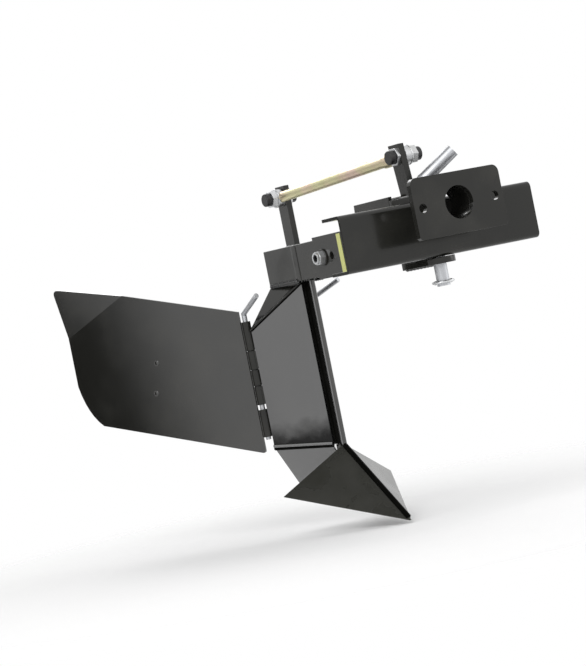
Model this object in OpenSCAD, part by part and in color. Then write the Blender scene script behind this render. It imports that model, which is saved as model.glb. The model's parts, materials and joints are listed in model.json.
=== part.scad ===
// Walk-behind ridger: a V body with hinged wings and a pointed share on an upright shank.
// It is carried by a swinging drawbar on a hitch channel with a bolted coupling plate.
// Millimetres. +X points forward to the tractor, +Y to the left, +Z up.
// The origin is the centre of the coupling hole on the front face of the coupling plate.

/* [Coupling plate] */
// Width of the coupling plate across the machine
plate_width = 128; // [110:1:150]
// Height of the coupling plate
plate_height = 74; // [64:1:82]
// Thickness of the coupling plate
plate_thickness = 8; // [6:0.5:12]
// Radius of the plate's upper corners
plate_corner_radius = 9; // [4:1:14]
// Bevel of the plate's lower corners
plate_bevel = 3; // [1:0.5:6]
// Diameter of the central coupling hole
coupling_bore = 40; // [30:1:44]
// Distance between the two plate bolt holes
plate_hole_spacing = 104; // [90:1:110]
// Diameter of the two plate bolt holes
plate_hole_diameter = 11; // [9:0.5:13]
// Wall of the socket tube behind the plate
socket_wall = 5; // [3:0.5:8]
// Length of the socket tube between plate and channel
socket_length = 39; // [30:1:60]

/* [Hitch channel] */
// Length of the channel across the machine
channel_length = 280; // [220:2:320]
// Height of the channel
channel_height = 70; // [60:1:80]
// Depth of the channel's flanges
channel_depth = 40; // [36:1:50]
// Sheet thickness of the channel
channel_thickness = 4; // [3:0.5:5]
// Outer bend radius of the channel
channel_bend_radius = 7; // [5.5:0.5:9]
// How far the channel's middle lies below the coupling hole
channel_drop = 24; // [18:1:30]

/* [Hitch pin] */
// Diameter of the hitch pin
hitch_pin_diameter = 16; // [12:0.5:18]
// Distance of the hitch pin behind the channel's front face
hitch_pin_set_back = 20; // [17:1:24]
// Height of the pin's straight part above the yoke
hitch_pin_rise = 24; // [16:1:40]
// Length of the pin below the yoke
hitch_pin_tail = 27; // [22:1:40]
// Length of the bent grip of the pin
hitch_grip_length = 51; // [36:1:60]
// Lean of the bent grip from upright
hitch_grip_angle = 56; // [45:1:70]
// Direction of the bent grip seen from above, from straight ahead
hitch_grip_turn_angle = 57; // [30:1:90]
// Height of the collar on the pin
collar_height = 4; // [2:0.5:6]
// How far the collar stands out from the pin
collar_rim = 4; // [2:0.5:6]
// Diameter of the linch peg through the pin's tail
peg_diameter = 5; // [3:0.5:6]
// Diameter of the linch ring's wire
ring_wire = 3; // [2:0.5:4]

/* [Drawbar] */
// Inner width between the drawbar cheeks
cheek_gap = 40; // [32:1:50]
// Thickness of a drawbar cheek
cheek_thickness = 5; // [4:0.5:7]
// Height of a drawbar cheek
cheek_height = 55; // [50:1:62]
// Distance of the pivot bolt behind the hitch pin
pivot_reach = 225; // [200:1:260]
// How far the pivot bolt lies below the coupling hole
pivot_drop = 30; // [26:1:34]
// Length of cheek behind the pivot bolt
cheek_tail = 19; // [15:1:26]
// Distance of the spare lock hole in front of the pivot bolt
lock_hole_ahead = 22; // [19:1:25]
// Diameter of the spare lock hole
lock_hole_diameter = 10; // [8:0.5:11]
// Length of the box core between the cheeks
core_length = 80; // [60:1:100]
// Wall of the box core
core_wall = 5; // [4:0.5:7]
// Thickness of the yoke plates
yoke_thickness = 8; // [6:0.5:10]
// Gap between a yoke plate and the channel flange
yoke_gap = 0.6; // [0.4:0.1:0.9]
// Distance of the yoke's back plate behind the hitch pin
yoke_reach = 38; // [35:1:45]
// Radius of the yoke plates around the pin
yoke_nose_radius = 16; // [14:0.5:16.5]
// Radius of the lower yoke plate around the pin
lower_nose_radius = 20; // [17:0.5:22]
// Length of the two gussets behind the yoke
gusset_length = 82; // [60:1:100]
// Height of the gussets above the yoke's upper plate
gusset_rise = 5; // [2:0.5:8]
// Width of the plain yellow strip on the right cheek
strip_width = 9; // [6:0.5:12]
// Thickness of the plain yellow strip
strip_thickness = 0.6; // [0.4:0.1:1]
// Distance of the yellow strip in front of the pivot bolt
strip_ahead = 42; // [32:1:46]

/* [Posts and link] */
// Width of the flat bar of both posts
post_width = 23; // [20:0.5:28]
// Thickness of the flat bar of both posts
post_thickness = 8; // [6:0.5:10]
// Distance of the front link stud behind the hitch pin
front_stud_back = 31; // [28:1:36]
// Height of the front link stud above the coupling hole
front_stud_height = 70.5; // [64:0.5:76]
// Lean of the front post from upright, towards the rear
front_post_lean = 6.5; // [0:0.5:8]
// Distance of the rear link stud behind the pivot bolt
rear_stud_back = 125; // [115:1:135]
// Height of the rear link stud above the coupling hole
rear_stud_height = 60; // [54:0.5:66]
// Height of each post above its stud
post_top = 15; // [13:0.5:20]
// Diameter of the link studs
stud_diameter = 12; // [10:0.5:13]
// Diameter of the link rod
rod_diameter = 14; // [11:0.5:15]
// Outside diameter of the link eyes
eye_diameter = 24; // [22:0.5:26]
// Width of the link eyes along their studs
eye_width = 8; // [6:0.5:9]
// Play of the rear eye on its stud, on the radius
eye_play = 1.4; // [1.2:0.1:2]
// Length of the threaded socket on the front eye
link_socket_length = 30; // [28:1:36]
// Wall of the threaded socket on the front eye
link_socket_wall = 1.5; // [1.5:0.25:2.5]
// Thread left between rod end and front eye at rest
link_thread_left = 11; // [11:0.5:14]
// Diameter across the corners of the link nuts
link_nut_diameter = 24; // [20:0.5:26]
// Height of the link nuts
link_nut_height = 8; // [6:0.5:10]
// Diameter of the black stud caps
cap_diameter = 17; // [14.5:0.5:18]
// Length of a stud cap
cap_length = 8; // [6:0.5:10]
// Diameter of the flat washers on the studs
link_washer_diameter = 25; // [22:0.5:26]
// Thickness of all flat washers
washer_thickness = 2; // [1.5:0.25:3]

/* [Pivot bolt] */
// Diameter of the pivot bolt
pivot_diameter = 10; // [8:0.5:12]
// Diameter across the corners of the pivot nut
pivot_nut_diameter = 19.6; // [17:0.2:22]
// Height of the pivot nut's hexagon
pivot_nut_height = 7; // [5:0.5:9]
// Height of the lock collar on the pivot nut
pivot_nut_collar = 3; // [2:0.5:4]
// Diameter of the pivot washers
pivot_washer_diameter = 22; // [20:0.5:24]

/* [Shank] */
// Height of the shank head between the cheeks
head_height = 48; // [42:1:52]
// Clearance of the shank head to each cheek
head_side_gap = 0.4; // [0.3:0.1:0.6]
// Length of the shank head behind the pivot bolt
head_length = 160; // [148:1:175]
// Wall of the shank head
head_wall = 5; // [4:0.5:7]
// Thickness of the flat shank
shank_thickness = 8; // [6:0.5:10]
// Width of the flat shank along the machine
shank_width = 48; // [40:1:56]
// Distance of the shank's front edge behind the pivot bolt
shank_back = 80; // [74:1:88]

/* [Body] */
// Half angle of the V body
body_half_angle = 27.5; // [24:0.5:32]
// Distance of the hinge line from the shank's side
hinge_reach = 104; // [96:1:112]
// Distance of the panels' root behind the shank's front edge
panel_set_back = 15; // [12:1:20]
// Thickness of the body panels
panel_thickness = 4; // [3:0.5:5]
// Height of the panels at the shank, from shank head to lower edge
panel_front_height = 218; // [205:1:230]
// Fall of the panels' upper edge towards the rear
panel_top_fall = 50; // [42:1:56]
// Rise of the panels' lower edge towards the rear
panel_low_rise = 8; // [0:1:14]
// Thickness of the folded flaps
flap_thickness = 3; // [2:0.5:4]
// How far the lower flap drops at its rear
low_flap_drop = 56; // [48:1:60]
// How far the lower flap leans inwards at its rear
low_flap_lean = 25; // [17:1:28]

/* [Share] */
// Half width of the share
share_half_width = 86; // [76:1:94]
// Distance of the share's tip in front of its top
share_reach = 131; // [115:1:143]
// Height of the share's top above its tip
share_height = 107; // [96:1:118]
// Distance of the share's rear corners behind its top
share_sweep = 36; // [28:1:44]
// Height of the share's top above its rear corners
share_corner_drop = 53; // [45:1:60]
// Thickness of the share plates measured upright
share_thickness = 7; // [5:0.5:9]
// Width of the neck of the bracket under the share
bracket_neck = 11; // [8:0.5:11.5]

/* [Wings] */
// Angle of each wing from the line of travel at rest
wing_angle = 30; // [20:1:40]
// Length of a wing from its hinge
wing_length = 288; // [260:1:310]
// Rise of the wings' edges towards the rear
wing_rise = 16.5; // [12:0.5:20]
// Height of a wing along its hinge
wing_height = 194; // [180:1:205]
// Thickness of the wings
wing_thickness = 3; // [2:0.5:4]
// Radius of the wings' upper rear corner
wing_corner_radius = 8; // [4:1:14]
// Part of a wing's upper edge that its bent corner takes
wing_fold_run = 101; // [80:1:120]
// Part of a wing's rear edge that its bent corner takes
wing_fold_drop = 74; // [66:1:90]
// Angle by which a wing's upper rear corner is bent outward
wing_fold_angle = 16; // [8:1:24]
// Size of the rounding at the wings' lower front corner
wing_toe_radius = 5; // [2:0.5:8]
// Size of the cut at the wings' lower rear corner
wing_cut = 30; // [20:1:40]
// Distance of the wing plate from the hinge line
wing_gap = 7.6; // [7.2:0.1:9]
// Diameter of the hinge pins
hinge_pin_diameter = 7; // [5:0.5:8]
// Outside diameter of the hinge knuckles
knuckle_diameter = 13; // [12:0.5:14]
// Distance of the panels' rear edge from the hinge line
panel_gap = 7.5; // [7.2:0.1:8.2]
// Gap between neighbouring knuckles
knuckle_gap = 0.6; // [0.4:0.1:1]
// Length of the bent grip of a hinge pin
hinge_grip_length = 58; // [40:1:64]
// Lean of the bent grip of a hinge pin from upright
hinge_grip_angle = 69; // [50:1:75]
// Outward turn of the right hinge pin's grip from straight ahead
right_grip_turn_angle = 6; // [2:1:20]
// Outward turn of the left hinge pin's grip from straight ahead
left_grip_turn_angle = 24; // [12:1:30]

/* [Hidden] */
// Overrun of every cut past the face it opens
overrun = 1;
// Running clearance on the radius of every shaft in its hole
running_clearance = 0.05;
// Seat clearance between pieces that are fixed to each other
seat_gap = 0.1;
// Smoothness of round shapes
round_steps = 48;
fine_steps = 32;
hex_steps = 6;
// Shares of other sizes
half_share = 0.5;
neck_share = 0.78;
bend_share = 1.06;
flap_front_share = 0.22;
flap_run_share = 0.1;
tail_peg_share = 0.18;
share_edge_share = 0.9;
arc_steps = 6;

// Colours by material
black_paint = [0.035, 0.035, 0.037];
zinc = [0.74, 0.75, 0.76];
yellow_zinc = [0.80, 0.66, 0.30];
cap_black = [0.03, 0.03, 0.03];
strip_yellow = [0.86, 0.82, 0.30];

// Hitch positions
plate_top = plate_height * half_share;
plate_half = plate_width * half_share;
channel_front = -plate_thickness - socket_length;
channel_top = -channel_drop + channel_height * half_share;
channel_low = -channel_drop - channel_height * half_share;
channel_half = channel_length * half_share;
channel_rear = channel_front - channel_depth;
pin_x = channel_front - hitch_pin_set_back;
pin_radius = hitch_pin_diameter * half_share;
yoke_upper_low = channel_top + yoke_gap;
yoke_upper_top = yoke_upper_low + yoke_thickness;
yoke_lower_top = channel_low - yoke_gap;
yoke_lower_low = yoke_lower_top - yoke_thickness;
pin_low = yoke_lower_low - hitch_pin_tail;
pin_bend = yoke_upper_top + hitch_pin_rise - pin_radius;
peg_level = pin_low + hitch_pin_tail * tail_peg_share;
peg_radius = peg_diameter * half_share;
wire_radius = ring_wire * half_share;
ring_radius = pin_radius + ring_wire + wire_radius;

// Drawbar positions
cheek_inner = cheek_gap * half_share;
cheek_outer = cheek_inner + cheek_thickness;
yoke_back_front = pin_x - yoke_reach;
yoke_back_rear = yoke_back_front - yoke_thickness;
pivot_x = pin_x - pivot_reach;
pivot_z = -pivot_drop;
cheek_low = pivot_z - cheek_height * half_share;
cheek_top = pivot_z + cheek_height * half_share;
cheek_rear = pivot_x - cheek_tail;
core_rear = yoke_back_rear - core_length;
gusset_rear = yoke_back_rear - gusset_length;
gusset_top = yoke_upper_top + gusset_rise;

// Link positions: the rod lies in the middle plane, the front post right of it and the rear post left
front_stud_x = pin_x - front_stud_back;
rear_stud_x = pivot_x - rear_stud_back;
link_run = front_stud_x - rear_stud_x;
link_climb = front_stud_height - rear_stud_height;
link_length = sqrt(link_run * link_run + link_climb * link_climb);
link_tilt = atan2(link_climb, link_run);
stud_radius = stud_diameter * half_share;
rod_radius = rod_diameter * half_share;
eye_half = eye_width * half_share;
post_inner = eye_half + seat_gap;
post_outer = post_inner + post_thickness;
post_half = post_width * half_share;
eye_radius = eye_diameter * half_share;
link_socket_radius = rod_radius + link_socket_wall;
// Distance from a stud at which the round of rod and socket may begin, clear of the post
link_clear = post_half + washer_thickness;
rod_front = link_length - link_clear - link_thread_left;
washer_end = eye_half + seat_gap + washer_thickness;
nut_end = washer_end + link_nut_height;
outer_nut_end = post_outer + link_nut_height * half_share;

// Shank and body positions
head_half = cheek_inner - head_side_gap;
head_low = pivot_z - head_height * half_share;
head_top = pivot_z + head_height * half_share;
head_rear = pivot_x - head_length;
head_nose = head_height * half_share;
pivot_radius = pivot_diameter * half_share;
shank_half = shank_thickness * half_share;
shank_front = pivot_x - shank_back;
shank_rear = shank_front - shank_width;
body_root_x = shank_front - panel_set_back;
panel_half = panel_thickness * half_share;
panel_start = panel_half * cos(body_half_angle) / sin(body_half_angle) + seat_gap;
panel_end = hinge_reach - panel_gap;
panel_top = head_low - flap_thickness * half_share;
panel_low = head_low - panel_front_height;
hinge_x = body_root_x - hinge_reach * cos(body_half_angle);
hinge_y = -shank_half - hinge_reach * sin(body_half_angle);

// Share: its top lies behind and below the shank's front edge
share_top_x = shank_front - shank_half;
share_top_z = panel_low - flap_thickness;
share_tip_x = share_top_x + share_reach;
share_tip_z = share_top_z - share_height;
share_corner_x = share_top_x - share_sweep;
share_corner_z = share_top_z - share_corner_drop;
ridge_slope = share_height / share_reach;
shank_low_front = share_top_z - ridge_slope * (shank_front - share_top_x) + seat_gap;
shank_low = share_top_z + seat_gap;
share_side_slope = (share_corner_drop * share_reach + share_sweep * share_height)
  / (share_half_width * share_reach);
bracket_drop = share_thickness + share_side_slope * shank_half + seat_gap;
bracket_back = share_top_x - share_sweep * shank_half / share_half_width - seat_gap;
bracket_rear = bracket_back - bracket_neck;
bracket_front = share_top_x + share_reach * half_share;

// Wing: along its own plane, s from the hinge line and z upright
wing_slope = tan(wing_rise);
wing_low = panel_low;
wing_top = wing_low + wing_height;
knuckle_radius = knuckle_diameter * half_share;
hinge_pin_radius = hinge_pin_diameter * half_share;
knuckle_bore = hinge_pin_radius + running_clearance;
// Knuckles from the top: wing, body, wing, body, then a gap and the last of the wing
knuckle_upper = panel_top - panel_top_fall + knuckle_diameter;
knuckle_shares = [0.206, 0.134, 0.1135, 0.134, 0.031, 0.196];
knuckle_lengths = [for (size_share = knuckle_shares) wing_height * size_share];
hinge_pin_low = knuckle_upper - knuckle_sum(len(knuckle_lengths)) - hinge_pin_diameter * half_share;
hinge_pin_bend = knuckle_upper + hinge_pin_diameter + hinge_pin_radius;

// Length of the first knuckles, from the top down to the given count
function knuckle_sum(count) = count == 0 ? 0 : knuckle_lengths[count - 1] + knuckle_sum(count - 1);

// Point on a panel's middle plane at a distance from the shank and a height
function panel_point(reach, level) = [body_root_x - reach * cos(body_half_angle),
  -shank_half - reach * sin(body_half_angle), level];

// Height of the panel's upper edge at a distance from the shank
function panel_edge(reach) = panel_top - panel_top_fall * (reach - panel_start) / (panel_end - panel_start);

// Point at a share of the way along an arc that is pulled towards a bend point
function arc_point(start, bend, finish, way) = start * (1 - way) * (1 - way)
  + bend * way * (1 - way) * 2 + finish * way * way;

// Flat plate standing along the machine between two sideways limits, from points in X and Z
module side_plate(points, right, left) {
  translate([0, left, 0])
    rotate([90, 0, 0])
      linear_extrude(left - right)
        polygon(points);
}

// Box from a low corner to a high corner
module box(low, high) {
  translate(low)
    cube(high - low);
}

// Round bar across the machine between two sideways limits
module cross_bar(x, z, radius, right, left, steps = round_steps) {
  translate([x, left, z])
    rotate([90, 0, 0])
      cylinder(r = radius, h = left - right, $fn = steps);
}

// Ring across the machine: a round or hexagonal bar with a bore
module cross_ring(x, z, radius, bore, right, left, steps = round_steps) {
  difference() {
    cross_bar(x, z, radius, right, left, steps);
    cross_bar(x, z, bore, right - overrun, left + overrun);
  }
}

// Bent end of an upright pin: a forged ball at the bend, then a straight grip that leans over
module bent_grip(radius, level, lean, turn, length) {
  translate([0, 0, level])
    sphere(r = radius * bend_share, $fn = round_steps);
  translate([0, 0, level])
    rotate([0, lean, turn])
      cylinder(r = radius, h = length, $fn = round_steps);
}

// Solid between an outer polygon and its copy moved by a step
module slab(points, step) {
  ground_slab(points, step, 1);
}

// The same with its far face shrunk towards the first point, so that the edge opposite is ground thin
module ground_slab(points, step, size_share) {
  count = len(points);
  moved = [for (p = points) points[0] + (p - points[0]) * size_share + step];
  polyhedron(points = concat(points, moved),
    faces = concat([[for (i = [0 : count - 1]) i]], [[for (i = [count - 1 : -1 : 0]) count + i]],
      [for (i = [0 : count - 1]) [i, count + i, count + (i + 1) % count, (i + 1) % count]]));
}

// Plate with the coupling hole, two bolt holes, round upper and bevelled lower corners
module coupling_plate() {
  inner = plate_half - plate_corner_radius;
  color(black_paint)
    difference() {
      union() {
        translate([-plate_thickness, 0, 0])
          rotate([90, 0, 90])
            linear_extrude(plate_thickness)
              polygon([[-plate_half, plate_top - plate_corner_radius], [-plate_half, plate_bevel - plate_top],
                [plate_bevel - plate_half, -plate_top], [plate_half - plate_bevel, -plate_top],
                [plate_half, plate_bevel - plate_top], [plate_half, plate_top - plate_corner_radius],
                [inner, plate_top - plate_corner_radius], [inner, plate_top], [-inner, plate_top],
                [-inner, plate_top - plate_corner_radius]]);
        for (side = [-1, 1])
          translate([-plate_thickness, side * inner, plate_top - plate_corner_radius])
            rotate([0, 90, 0])
              cylinder(r = plate_corner_radius, h = plate_thickness, $fn = round_steps);
      }
      translate([-plate_thickness - overrun, 0, 0])
        rotate([0, 90, 0])
          cylinder(d = coupling_bore, h = plate_thickness + overrun + overrun, $fn = round_steps);
      for (side = [-1, 1])
        translate([-plate_thickness - overrun, side * plate_hole_spacing * half_share, 0])
          rotate([0, 90, 0])
            cylinder(d = plate_hole_diameter, h = plate_thickness + overrun + overrun, $fn = fine_steps);
    }
}

// Tube welded between plate and channel that continues the coupling hole
module coupling_socket() {
  color(black_paint)
    translate([channel_front, 0, 0])
      rotate([0, 90, 0])
        difference() {
          cylinder(d = coupling_bore + socket_wall + socket_wall, h = socket_length, $fn = round_steps);
          translate([0, 0, -overrun])
            cylinder(d = coupling_bore, h = socket_length + overrun + overrun, $fn = round_steps);
        }
}

// Quarter bend of sheet along the channel, turned about its own centre line
module channel_corner(level, turn) {
  translate([channel_front - channel_bend_radius, channel_half, level])
    rotate([90, turn, 0])
      rotate_extrude(angle = 90, $fn = round_steps)
        translate([channel_bend_radius - channel_thickness, 0])
          square([channel_thickness, channel_length]);
}

// C-section folded from sheet, its web to the front and its flanges to the rear
module hitch_channel() {
  bend_centre = channel_front - channel_bend_radius;
  color(black_paint)
    difference() {
      union() {
        box([channel_front - channel_thickness, -channel_half, channel_low + channel_bend_radius],
          [channel_front, channel_half, channel_top - channel_bend_radius]);
        box([channel_rear, -channel_half, channel_top - channel_thickness],
          [bend_centre, channel_half, channel_top]);
        box([channel_rear, -channel_half, channel_low],
          [bend_centre, channel_half, channel_low + channel_thickness]);
        channel_corner(channel_top - channel_bend_radius, 0);
        channel_corner(channel_low + channel_bend_radius, 90);
      }
      translate([pin_x, 0, channel_low - overrun])
        cylinder(r = pin_radius + running_clearance, h = channel_height + overrun + overrun,
          $fn = round_steps);
    }
}

// Upright pin with a collar, a bent grip and a cross hole for the linch peg
module hitch_pin() {
  color(zinc)
    translate([pin_x, 0, 0])
      difference() {
        union() {
          translate([0, 0, pin_low])
            cylinder(r = pin_radius, h = pin_bend - pin_low, $fn = round_steps);
          translate([0, 0, yoke_upper_top + yoke_gap])
            cylinder(r = pin_radius + collar_rim, h = collar_height, $fn = round_steps);
          bent_grip(pin_radius, pin_bend, hitch_grip_angle, hitch_grip_turn_angle, hitch_grip_length);
        }
        cross_bar(0, peg_level, peg_radius + running_clearance, -pin_radius - overrun,
          pin_radius + overrun, fine_steps);
      }
}

// Linch clip: a peg through the pin's tail with a wire ring snapped round the pin
module linch_clip() {
  color(zinc)
    translate([pin_x, 0, 0]) {
      cross_bar(0, peg_level, peg_radius, -ring_radius, ring_radius, fine_steps);
      translate([0, 0, peg_level])
        rotate_extrude($fn = round_steps)
          translate([ring_radius, 0])
            circle(r = wire_radius, $fn = fine_steps);
    }
}

// Flat yoke plate with a round nose about the hitch pin
module yoke_plate(low, high, nose) {
  color(black_paint)
    difference() {
      union() {
        translate([0, 0, low])
          linear_extrude(high - low)
            polygon([[yoke_back_front, -cheek_outer], [pin_x, -nose], [pin_x, nose],
              [yoke_back_front, cheek_outer]]);
        translate([pin_x, 0, low])
          cylinder(r = nose, h = high - low, $fn = round_steps);
      }
      translate([pin_x, 0, low - overrun])
        cylinder(r = pin_radius + running_clearance, h = high - low + overrun + overrun, $fn = round_steps);
    }
}

module yoke_upper() {
  yoke_plate(yoke_upper_low, yoke_upper_top, yoke_nose_radius);
}

module yoke_lower() {
  yoke_plate(yoke_lower_low, yoke_lower_top, lower_nose_radius);
}

// Upright plate that joins both yoke plates and closes the drawbar
module yoke_back() {
  color(black_paint)
    box([yoke_back_rear, -cheek_outer, yoke_lower_low], [yoke_back_front, cheek_outer, yoke_upper_top]);
}

// Two ribs on top of the cheeks that stiffen the yoke's back plate
module yoke_gussets() {
  slope_run = gusset_top - cheek_top;
  color(black_paint)
    for (side = [-1, 1])
      side_plate([[gusset_rear - slope_run * flap_run_share, cheek_top],
        [gusset_rear, gusset_top], [yoke_back_rear, gusset_top], [yoke_back_rear, cheek_top]],
        side < 0 ? -cheek_outer : cheek_inner, side < 0 ? -cheek_inner : cheek_outer);
}

// Side plate of the drawbar with the pivot hole and the spare lock hole
module cheek(right, left) {
  color(black_paint)
    difference() {
      box([cheek_rear, right, cheek_low], [yoke_back_rear, left, cheek_top]);
      cross_bar(pivot_x, pivot_z, pivot_radius + running_clearance, right - overrun, left + overrun);
      cross_bar(pivot_x + lock_hole_ahead, pivot_z, lock_hole_diameter * half_share, right - overrun,
        left + overrun, fine_steps);
    }
}

module right_cheek() {
  cheek(-cheek_outer, -cheek_inner);
}

module left_cheek() {
  cheek(cheek_inner, cheek_outer);
}

// Box tube between the cheeks behind the yoke
module drawbar_core() {
  color(black_paint)
    difference() {
      box([core_rear, -cheek_inner, head_low], [yoke_back_rear, cheek_inner, head_top]);
      box([core_rear - overrun, core_wall - cheek_inner, head_low + core_wall],
        [yoke_back_rear + overrun, cheek_inner - core_wall, head_top - core_wall]);
    }
}

// Plain unlettered yellow strip on the right cheek
module yellow_strip() {
  margin = washer_thickness;
  color(strip_yellow)
    box([pivot_x + strip_ahead, -cheek_outer - strip_thickness, cheek_low + margin],
      [pivot_x + strip_ahead + strip_width, -cheek_outer, cheek_top - margin]);
}

// Flat bar post with a hole for its link stud, leaning about the stud
module post(stud_x, stud_z, foot_z, lean, right, left) {
  foot_shift = (stud_z - foot_z) * tan(lean);
  top_shift = post_top * tan(lean);
  color(black_paint)
    difference() {
      side_plate([[stud_x - post_half + foot_shift, foot_z], [stud_x + post_half + foot_shift, foot_z],
        [stud_x + post_half - top_shift, stud_z + post_top],
        [stud_x - post_half - top_shift, stud_z + post_top]], right, left);
      cross_bar(stud_x, stud_z, stud_radius + running_clearance, right - overrun, left + overrun);
    }
}

module front_post() {
  post(front_stud_x, front_stud_height, yoke_upper_top, front_post_lean, -post_outer, -post_inner);
}

module rear_post() {
  post(rear_stud_x, rear_stud_height, head_top, 0, post_inner, post_outer);
}

// Studs, nuts, washers and caps: the post side is -1 for the front link end and 1 for the rear
module link_stud(x, z, side) {
  near = outer_nut_end + cap_length * half_share;
  far = nut_end + cap_length * half_share;
  color(zinc)
    cross_bar(x, z, stud_radius, side < 0 ? -near : -far, side < 0 ? far : near);
}

module link_nuts(x, z, side) {
  color(zinc) {
    cross_ring(x, z, link_nut_diameter * half_share, stud_radius + running_clearance,
      side < 0 ? washer_end : -nut_end, side < 0 ? nut_end : -washer_end, hex_steps);
    cross_ring(x, z, link_nut_diameter * half_share, stud_radius + running_clearance,
      side < 0 ? -outer_nut_end : post_outer, side < 0 ? -post_outer : outer_nut_end, hex_steps);
  }
}

module link_washer(x, z, side) {
  inner = eye_half + seat_gap;
  color(zinc)
    cross_ring(x, z, link_washer_diameter * half_share, stud_radius + running_clearance,
      side < 0 ? inner : -washer_end, side < 0 ? washer_end : -inner);
}

// Blind cap over a stud end; the direction is -1 for a cap that faces right
module stud_cap(x, z, start, direction) {
  finish = start + direction * cap_length;
  bore_end = start + direction * (cap_length * half_share + seat_gap);
  mouth = start - direction * overrun;
  color(cap_black)
    difference() {
      cross_bar(x, z, cap_diameter * half_share, min(start, finish), max(start, finish));
      cross_bar(x, z, stud_radius + running_clearance, min(mouth, bore_end), max(mouth, bore_end));
    }
}

module front_stud() {
  link_stud(front_stud_x, front_stud_height, -1);
}

module front_nuts() {
  link_nuts(front_stud_x, front_stud_height, -1);
}

module front_washer() {
  link_washer(front_stud_x, front_stud_height, -1);
}

module front_caps() {
  stud_cap(front_stud_x, front_stud_height, -outer_nut_end, -1);
  stud_cap(front_stud_x, front_stud_height, nut_end, 1);
}

module rear_stud() {
  link_stud(rear_stud_x, rear_stud_height, 1);
}

module rear_nuts() {
  link_nuts(rear_stud_x, rear_stud_height, 1);
}

module rear_washer() {
  link_washer(rear_stud_x, rear_stud_height, 1);
}

module rear_caps() {
  stud_cap(rear_stud_x, rear_stud_height, outer_nut_end, 1);
  stud_cap(rear_stud_x, rear_stud_height, -nut_end, -1);
}

// Front link eye with the threaded socket that takes the rod
module front_eye() {
  color(yellow_zinc)
    translate([front_stud_x, 0, front_stud_height])
      rotate([0, -link_tilt, 0])
        difference() {
          union() {
            cross_bar(0, 0, eye_radius, -eye_half, eye_half);
            translate([-link_clear - link_socket_length, 0, 0])
              rotate([0, 90, 0])
                cylinder(r = link_socket_radius, h = link_socket_length + link_clear * half_share,
                  $fn = round_steps);
          }
          cross_bar(0, 0, stud_radius + running_clearance, -eye_radius, eye_radius);
          translate([-link_clear - link_socket_length - overrun, 0, 0])
            rotate([0, 90, 0])
              cylinder(r = rod_radius + running_clearance, h = link_socket_length + overrun,
                $fn = round_steps);
          box([-link_clear, eye_half, -link_clear], [link_clear, link_clear, link_clear]);
          box([-link_clear, -link_clear, -link_clear], [link_clear, -eye_half, link_clear]);
        }
}

// Link rod with its rear eye; the eye has play on its stud
module link_rod() {
  color(yellow_zinc)
    translate([rear_stud_x, 0, rear_stud_height])
      rotate([0, -link_tilt, 0])
        difference() {
          union() {
            cross_bar(0, 0, eye_radius, -eye_half, eye_half);
            translate([eye_radius * neck_share, 0, 0])
              rotate([0, 90, 0])
                cylinder(r = rod_radius, h = rod_front - eye_radius * neck_share, $fn = round_steps);
          }
          cross_bar(0, 0, stud_radius + eye_play, -eye_radius, eye_radius);
          box([-link_clear, eye_half, -link_clear], [link_clear, link_clear, link_clear]);
          box([-link_clear, -link_clear, -link_clear], [link_clear, -eye_half, link_clear]);
        }
}

// Pivot bolt with its head on the left, and its lock nut on the right
module pivot_bolt() {
  seat = cheek_outer + washer_thickness;
  color(zinc) {
    cross_bar(pivot_x, pivot_z, pivot_radius, -seat - pivot_nut_height, seat);
    cross_bar(pivot_x, pivot_z, pivot_nut_diameter * half_share, seat, seat + pivot_nut_height, hex_steps);
  }
}

module pivot_nut() {
  seat = -cheek_outer - washer_thickness;
  bore = pivot_radius + running_clearance;
  color(zinc) {
    cross_ring(pivot_x, pivot_z, pivot_nut_diameter * half_share, bore, seat - pivot_nut_height, seat,
      hex_steps);
    cross_ring(pivot_x, pivot_z, pivot_nut_diameter * half_share * neck_share, bore,
      seat - pivot_nut_height - pivot_nut_collar, seat - pivot_nut_height);
  }
}

module pivot_washers() {
  radius = pivot_washer_diameter * half_share;
  bore = pivot_radius + running_clearance;
  color(black_paint) {
    cross_ring(pivot_x, pivot_z, radius, bore, -cheek_outer - washer_thickness, -cheek_outer);
    cross_ring(pivot_x, pivot_z, radius, bore, cheek_outer, cheek_outer + washer_thickness);
  }
}

// Head of the shank: a tube with a solid round nose on the pivot bolt
module shank_head() {
  color(black_paint)
    difference() {
      union() {
        box([head_rear, -head_half, head_low], [pivot_x, head_half, head_top]);
        cross_bar(pivot_x, pivot_z, head_nose, -head_half, head_half);
      }
      cross_bar(pivot_x, pivot_z, pivot_radius + running_clearance, -head_half - overrun,
        head_half + overrun);
      box([head_rear - overrun, head_wall - head_half, head_low + head_wall],
        [pivot_x - head_nose, head_half - head_wall, head_top - head_wall]);
    }
}

// Flat upright shank, its foot cut to sit on the share's ridge
module shank() {
  color(black_paint)
    side_plate([[shank_front, head_low], [shank_front, shank_low_front], [share_top_x, shank_low],
      [shank_rear, shank_low], [shank_rear, head_low]], -shank_half, shank_half);
}

// Right body panel: an upright plate swept back from the shank
module right_panel() {
  color(black_paint)
    translate([body_root_x, -shank_half, 0])
      rotate([0, 0, 180 + body_half_angle])
        side_plate([[panel_start, panel_top], [panel_end, panel_top - panel_top_fall],
          [panel_end, panel_low + panel_low_rise], [panel_start, panel_low]], -panel_half, panel_half);
}

module left_panel() {
  mirror([0, 1, 0])
    right_panel();
}

// Upper flap: closes the body between the panel's upper edge and the shank head
module right_top_flap() {
  inner = panel_start + panel_half;
  outer = panel_end - seat_gap;
  front = panel_point(inner, panel_edge(inner) + seat_gap);
  rear = panel_point(outer, panel_edge(outer) + seat_gap);
  upper = [head_rear + overrun, overrun - head_half, head_low - flap_thickness];
  across = cross(upper - front, rear - front);
  lift = across / norm(across) * (across[2] < 0 ? -flap_thickness : flap_thickness) * neck_share;
  color(black_paint)
    slab([front, upper, rear], lift);
}

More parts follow.
